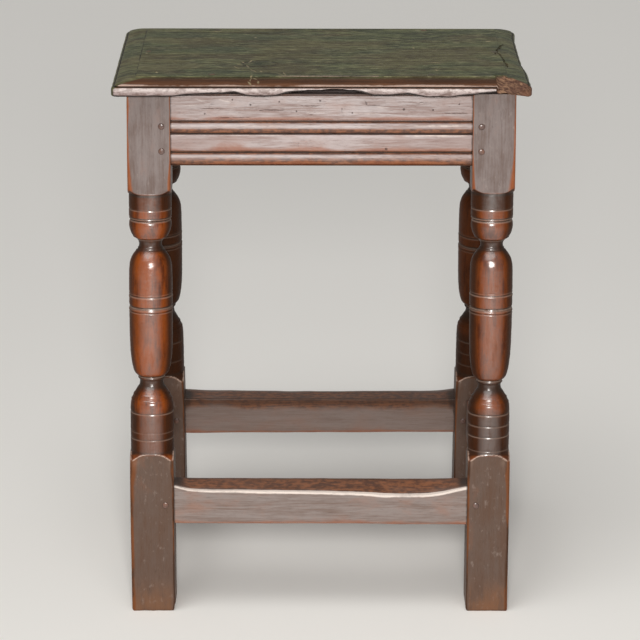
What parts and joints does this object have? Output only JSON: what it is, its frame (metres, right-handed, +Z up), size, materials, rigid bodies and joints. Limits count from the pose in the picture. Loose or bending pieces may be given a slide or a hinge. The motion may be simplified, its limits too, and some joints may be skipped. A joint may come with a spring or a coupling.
{
  "type": "joint stool",
  "caption": "Oak joint stool: moulded rectangular seat board on a pegged frame of turned, outward-leaning legs, moulded rails and low stretchers.",
  "frame": {"origin": "on the floor under the middle of the stool", "axes": "+Z up, +X to the right and -Y to the front, so the two moulded long rails face -Y and +Y"},
  "size_m": [0.423, 0.324, 0.565],
  "materials": {
    "seat_oak": "dark olive-brown waxed oak, semi-gloss from rubbing",
    "leg_oak": "red-brown polished oak, dark in the grooves",
    "rail_oak": "grey-brown patinated oak, satin",
    "stretcher_oak": "dark brown oak, worn and scuffed on top",
    "peg_oak": "dark oak end grain, satin"
  },
  "bodies": {
    "root": {"seat_top": "seat_oak", "leg_front_left": "leg_oak", "leg_front_right": "leg_oak", "leg_back_left": "leg_oak", "leg_back_right": "leg_oak", "rail_front": "rail_oak", "rail_back": "rail_oak", "rail_left": "rail_oak", "rail_right": "rail_oak", "stretcher_front": "stretcher_oak", "stretcher_back": "stretcher_oak", "stretcher_left": "stretcher_oak", "stretcher_right": "stretcher_oak", "rail_pegs_front": "peg_oak", "rail_pegs_back": "peg_oak", "rail_pegs_left": "peg_oak", "rail_pegs_right": "peg_oak", "stretcher_pegs_front": "peg_oak", "stretcher_pegs_back": "peg_oak", "stretcher_pegs_left": "peg_oak", "stretcher_pegs_right": "peg_oak", "seat_pegs_long_rails": "peg_oak", "seat_pegs_side_rails": "peg_oak"}
  },
  "joints": []
}
